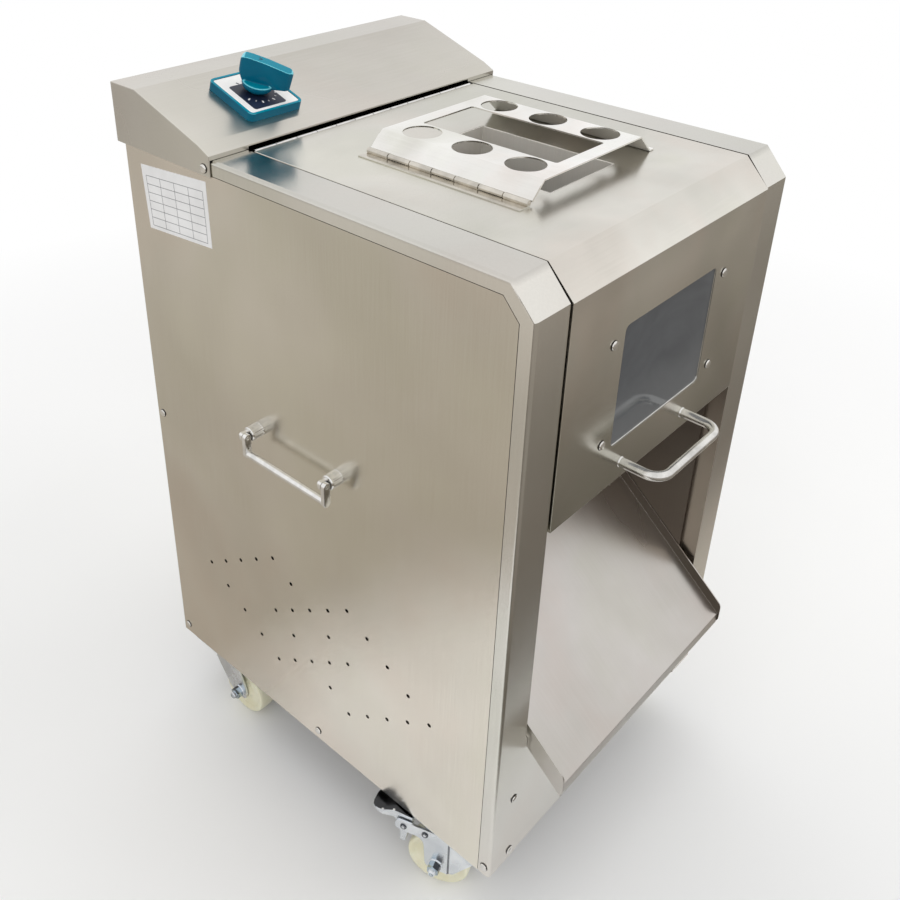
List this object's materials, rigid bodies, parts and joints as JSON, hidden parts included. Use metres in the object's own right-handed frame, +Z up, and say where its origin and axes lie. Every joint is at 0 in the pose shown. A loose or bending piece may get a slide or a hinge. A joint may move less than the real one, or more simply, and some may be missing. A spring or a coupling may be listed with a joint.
{
  "type": "meat slicer",
  "caption": "Upright stainless cabinet meat slicer on castors: hinged lid with feed slot, guard and window, side carrying bails, sloping discharge chute and a rotary switch hood.",
  "frame": {"origin": "on the floor under the middle of the whole machine's bounding box", "axes": "+Z up, +Y from the discharge side to the back, +X to the right as seen from the front"},
  "size_m": [0.479, 0.5948, 0.8815],
  "materials": {
    "stainless_panel": "2B rolled sheet, warm grey",
    "stainless_bright": "bright sheet",
    "stainless_inner": "plain sheet",
    "window": "smoked clear sheet",
    "chromed": "polished",
    "zinc": "bright zinc plate",
    "nylon": "cream nylon",
    "teal_plastic": "moulded",
    "white_plastic": "moulded",
    "black_plastic": "moulded",
    "blade_steel": "ground",
    "machined_steel": "turned",
    "cast": "cast",
    "motor_paint": "painted",
    "belt_rubber": "moulded"
  },
  "bodies": {
    "cabinet": {"left_front_frame": "stainless_bright", "right_front_frame": "stainless_bright", "left_side_panel": "stainless_panel", "right_side_panel": "stainless_panel", "rear_panel": "stainless_panel", "base_tray": "stainless_inner", "lower_front_panel": "stainless_panel", "discharge_chute": "stainless_bright", "left_chamber_wall": "stainless_inner", "right_chamber_wall": "stainless_inner", "bulkhead": "stainless_inner", "front_bearing_plate": "stainless_inner", "shaft_bearings": "cast", "stripper_combs": "stainless_inner", "drive_belt": "belt_rubber", "motor": "motor_paint", "lid_hinge_fixed_leaf": "stainless_bright", "control_hood": "stainless_panel", "switch_frame": "teal_plastic", "switch_dial": "white_plastic", "switch_body": "black_plastic", "side_handle_posts": "chromed", "castor_plates": "zinc", "panel_screws": "stainless_bright", "cable_gland": "black_plastic"},
    "lid": {"lid": "stainless_bright", "window_pane": "window", "window_screws": "stainless_bright", "lid_handle": "chromed", "feed_trunk": "stainless_bright", "lid_hinge_moving_leaf": "stainless_bright", "guard_hinge_fixed_leaf": "stainless_bright"},
    "guard": {"guard": "stainless_bright", "guard_hinge_moving_leaf": "stainless_bright"},
    "switch_knob": {"switch_knob": "teal_plastic"},
    "left_cutter": {"left_blade_shaft": "machined_steel", "left_blades": "blade_steel", "left_spacers": "machined_steel", "left_gear": "machined_steel", "driven_pulley": "cast"},
    "right_cutter": {"right_blade_shaft": "machined_steel", "right_blades": "blade_steel", "right_spacers": "machined_steel", "right_gear": "machined_steel"},
    "motor_rotor": {"motor_pulley": "cast"},
    "left_bail": {"left_side_bail": "chromed"},
    "right_bail": {"right_side_bail": "chromed"},
    "front_left_castor": {"front_left_fork": "zinc"},
    "front_left_castor_wheel": {"front_left_wheel": "nylon"},
    "front_left_pedal": {"front_left_brake_pedal": "zinc"},
    "front_right_castor": {"front_right_fork": "zinc"},
    "front_right_castor_wheel": {"front_right_wheel": "nylon"},
    "front_right_pedal": {"front_right_brake_pedal": "zinc"},
    "rear_left_castor": {"rear_left_fork": "zinc"},
    "rear_left_castor_wheel": {"rear_left_wheel": "nylon"},
    "rear_right_castor": {"rear_right_fork": "zinc"},
    "rear_right_castor_wheel": {"rear_right_wheel": "nylon"}
  },
  "joints": [
    {"name": "lid_hinge", "type": "hinge", "parent": "cabinet", "child": "lid", "pos_m": [0, 0.132, 0.8025], "axis": [-1, 0, 0], "range_deg": [0, 95]},
    {"name": "guard_hinge", "type": "hinge", "parent": "lid", "child": "guard", "pos_m": [-0.0925, -0.05, 0.8083], "axis": [0, -1, 0], "range_deg": [0, 110]},
    {"name": "switch_turn", "type": "hinge", "parent": "cabinet", "child": "switch_knob", "pos_m": [-0.11, 0.19103, 0.84078], "axis": [0, -0.3249, 0.9457], "range_deg": [-45, 45]},
    {"name": "left_cutter_spin", "type": "hinge", "parent": "cabinet", "child": "left_cutter", "pos_m": [-0.034, -0.1415, 0.694], "axis": [0, 1, 0], "continuous": true},
    {"name": "right_cutter_spin", "type": "hinge", "parent": "cabinet", "child": "right_cutter", "pos_m": [0.034, -0.1415, 0.694], "axis": [0, 1, 0], "continuous": true},
    {"name": "motor_spin", "type": "hinge", "parent": "cabinet", "child": "motor_rotor", "pos_m": [0.045, 0.1245, 0.182], "axis": [0, 1, 0], "continuous": true},
    {"name": "left_bail_swing", "type": "hinge", "parent": "cabinet", "child": "left_bail", "pos_m": [-0.235, 0.0305, 0.52], "axis": [0, 1, 0], "range_deg": [0, 90]},
    {"name": "right_bail_swing", "type": "hinge", "parent": "cabinet", "child": "right_bail", "pos_m": [0.235, 0.0305, 0.52], "axis": [0, -1, 0], "range_deg": [0, 90]},
    {"name": "front_left_swivel", "type": "hinge", "parent": "cabinet", "child": "front_left_castor", "pos_m": [-0.184, -0.1905, 0.0907], "axis": [0, 0, 1], "continuous": true},
    {"name": "front_left_wheel_spin", "type": "hinge", "parent": "front_left_castor", "child": "front_left_castor_wheel", "pos_m": [-0.19312, -0.16403, 0.0375], "axis": [0.9455, 0.3256, 0], "continuous": true},
    {"name": "front_left_brake", "type": "hinge", "parent": "front_left_castor", "child": "front_left_pedal", "pos_m": [-0.2063, -0.12573, 0.0827], "axis": [-0.9455, -0.3256, 0], "range_deg": [0, 8]},
    {"name": "front_right_swivel", "type": "hinge", "parent": "cabinet", "child": "front_right_castor", "pos_m": [0.184, -0.1905, 0.0907], "axis": [0, 0, 1], "continuous": true},
    {"name": "front_right_wheel_spin", "type": "hinge", "parent": "front_right_castor", "child": "front_right_castor_wheel", "pos_m": [0.184, -0.1625, 0.0375], "axis": [1, 0, 0], "continuous": true},
    {"name": "front_right_brake", "type": "hinge", "parent": "front_right_castor", "child": "front_right_pedal", "pos_m": [0.184, -0.122, 0.0827], "axis": [-1, 0, 0], "range_deg": [0, 8]},
    {"name": "rear_left_swivel", "type": "hinge", "parent": "cabinet", "child": "rear_left_castor", "pos_m": [-0.184, 0.2155, 0.0907], "axis": [0, 0, 1], "continuous": true},
    {"name": "rear_left_wheel_spin", "type": "hinge", "parent": "rear_left_castor", "child": "rear_left_castor_wheel", "pos_m": [-0.184, 0.1875, 0.0375], "axis": [1, 0, 0], "continuous": true},
    {"name": "rear_right_swivel", "type": "hinge", "parent": "cabinet", "child": "rear_right_castor", "pos_m": [0.184, 0.2155, 0.0907], "axis": [0, 0, 1], "continuous": true},
    {"name": "rear_right_wheel_spin", "type": "hinge", "parent": "rear_right_castor", "child": "rear_right_castor_wheel", "pos_m": [0.184, 0.1875, 0.0375], "axis": [1, 0, 0], "continuous": true}
  ],
  "couplings": [
    {"joint": "right_cutter_spin", "follows": "left_cutter_spin", "ratio": -1},
    {"joint": "motor_spin", "follows": "left_cutter_spin", "ratio": 2}
  ]
}
